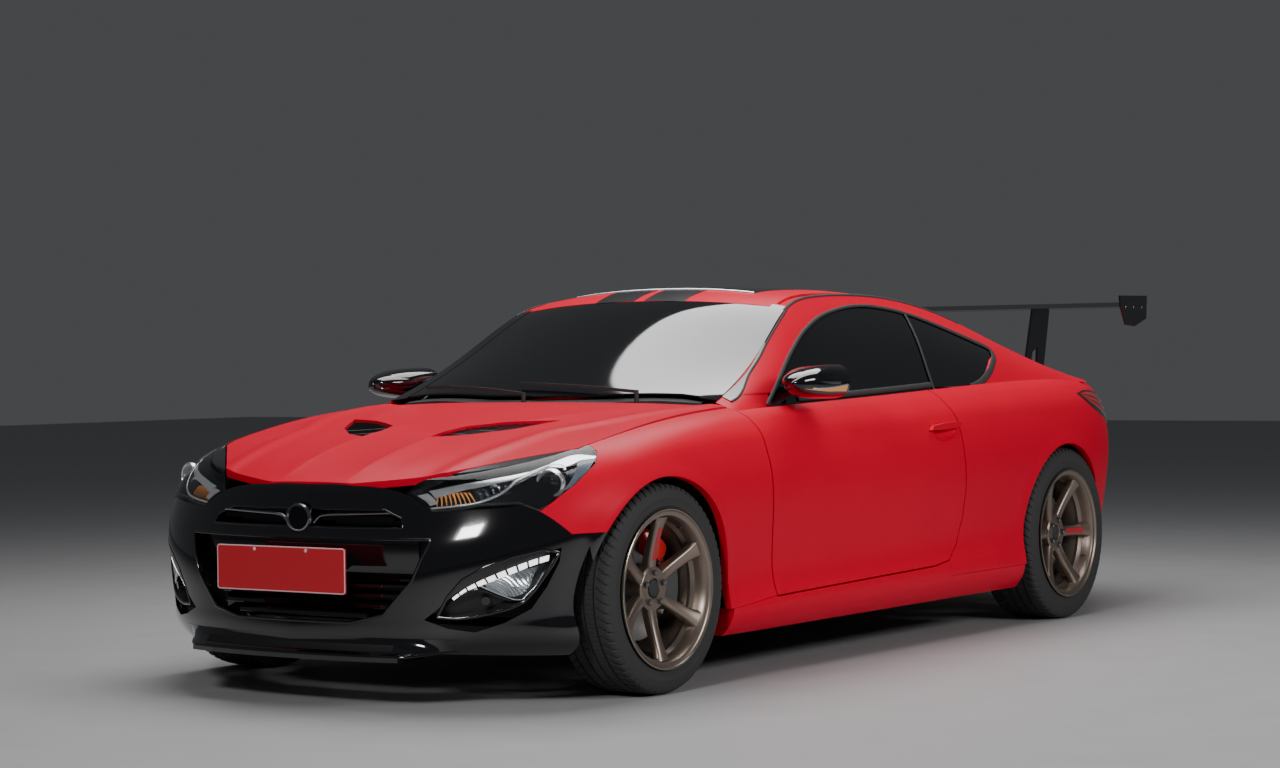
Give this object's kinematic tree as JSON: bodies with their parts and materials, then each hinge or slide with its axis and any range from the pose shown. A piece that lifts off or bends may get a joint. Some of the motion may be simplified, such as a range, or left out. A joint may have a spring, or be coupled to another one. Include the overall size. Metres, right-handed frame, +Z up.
{
  "type": "coupe car",
  "caption": "Lowered two-door coupe car with opening doors, hood and trunk lid, steering front wheels and a rear wing on stands.",
  "frame": {"origin": "on the ground, midway between the front lip and the wing's trailing edge, on the centreline", "axes": "+X forward to the nose, +Y to the car's left, +Z up"},
  "size_m": [4.66, 1.9958, 1.3204],
  "materials": {
    "red_paint": "satin red paint",
    "black_paint": "gloss black paint",
    "black_plastic": "grained black plastic",
    "trim_plastic": "cabin trim",
    "tinted_glass": "dark tinted glass",
    "clear_lamp": "clear lamp cover",
    "red_lamp": "red lamp cover",
    "chrome_trim": "polished",
    "bronze_alloy": "satin bronze gunmetal",
    "tyre_rubber": "tread rubber",
    "bare_steel": "machined",
    "cast_parts": "cast and painted black",
    "seat_leather": "black leather",
    "plate_red": "blank red plate",
    "wing_black": "gloss black"
  },
  "bodies": {
    "chassis": {"floor_pan": "black_plastic", "side_skirts": "red_paint", "side_frame_left": "red_paint", "side_frame_right": "red_paint", "roof_panel": "red_paint", "sunroof": "tinted_glass", "windshield": "tinted_glass", "rear_window": "tinted_glass", "quarter_glass": "tinted_glass", "cowl": "trim_plastic", "rear_shelf": "trim_plastic", "fender_left": "red_paint", "fender_right": "red_paint", "wheel_liners": "black_plastic", "front_bumper": "black_paint", "splitter": "black_plastic", "grille": "black_plastic", "grille_bar": "chrome_trim", "number_plate": "plate_red", "headlamp_left": "clear_lamp", "headlamp_right": "clear_lamp", "fog_lamps": "clear_lamp", "rear_bumper": "red_paint", "tail_lamps": "red_lamp", "front_suspension": "cast_parts", "wipers": "black_plastic", "rear_suspension": "cast_parts", "engine": "cast_parts", "exhaust": "bare_steel", "front_seats": "seat_leather", "rear_seat": "seat_leather", "centre_console": "trim_plastic"},
    "hood": {"hood": "red_paint", "hood_vents": "black_plastic"},
    "door_left": {"door_left": "red_paint", "door_glass_left": "tinted_glass", "mirror_left": "black_paint"},
    "door_right": {"door_right": "red_paint", "door_glass_right": "tinted_glass", "mirror_right": "black_paint"},
    "trunk_lid": {"trunk_lid": "red_paint", "rear_wing": "wing_black"},
    "knuckle_left": {"knuckle_left": "cast_parts"},
    "knuckle_right": {"knuckle_right": "cast_parts"},
    "steering_wheel": {"steering_wheel": "seat_leather"},
    "road_wheel_front_left": {"wheel_front_left": "bronze_alloy", "tyre_front_left": "tyre_rubber"},
    "road_wheel_front_right": {"wheel_front_right": "bronze_alloy", "tyre_front_right": "tyre_rubber"},
    "road_wheel_rear_left": {"wheel_rear_left": "bronze_alloy", "tyre_rear_left": "tyre_rubber"},
    "road_wheel_rear_right": {"wheel_rear_right": "bronze_alloy", "tyre_rear_right": "tyre_rubber"}
  },
  "joints": [
    {"name": "steering_wheel_turn", "type": "hinge", "parent": "chassis", "child": "steering_wheel", "pos_m": [0.58, 0.37, 0.76], "axis": [-0.8988, 0, 0.4384], "range_deg": [-490, 490]},
    {"name": "steer_left", "type": "hinge", "parent": "chassis", "child": "knuckle_left", "pos_m": [1.54, 0.738, 0.331], "axis": [0, 0, 1], "range_deg": [-35, 35]},
    {"name": "wheel_front_left_spin", "type": "hinge", "parent": "knuckle_left", "child": "road_wheel_front_left", "pos_m": [1.54, 0.8, 0.331], "axis": [0, 1, 0], "continuous": true},
    {"name": "wheel_rear_left_spin", "type": "hinge", "parent": "chassis", "child": "road_wheel_rear_left", "pos_m": [-1.28, 0.8075, 0.339], "axis": [0, 1, 0], "continuous": true},
    {"name": "door_left_hinge", "type": "hinge", "parent": "chassis", "child": "door_left", "pos_m": [0.952, 0.93, 0.55], "axis": [0, 0, -1], "range_deg": [0, 67]},
    {"name": "steer_right", "type": "hinge", "parent": "chassis", "child": "knuckle_right", "pos_m": [1.54, -0.738, 0.331], "axis": [0, 0, 1], "range_deg": [-35, 35]},
    {"name": "wheel_front_right_spin", "type": "hinge", "parent": "knuckle_right", "child": "road_wheel_front_right", "pos_m": [1.54, -0.8, 0.331], "axis": [0, 1, 0], "continuous": true},
    {"name": "wheel_rear_right_spin", "type": "hinge", "parent": "chassis", "child": "road_wheel_rear_right", "pos_m": [-1.28, -0.8075, 0.339], "axis": [0, 1, 0], "continuous": true},
    {"name": "door_right_hinge", "type": "hinge", "parent": "chassis", "child": "door_right", "pos_m": [0.952, -0.93, 0.55], "axis": [0, 0, 1], "range_deg": [0, 67]},
    {"name": "hood_hinge", "type": "hinge", "parent": "chassis", "child": "hood", "pos_m": [0.88, 0, 0.88], "axis": [0, -1, 0], "range_deg": [0, 50]},
    {"name": "trunk_lid_hinge", "type": "hinge", "parent": "chassis", "child": "trunk_lid", "pos_m": [-1.77, 0, 1], "axis": [0, 1, 0], "range_deg": [0, 70]}
  ],
  "couplings": [
    {"joint": "steer_left", "follows": "steering_wheel_turn", "ratio": 0.071429},
    {"joint": "steer_right", "follows": "steering_wheel_turn", "ratio": 0.071429}
  ]
}
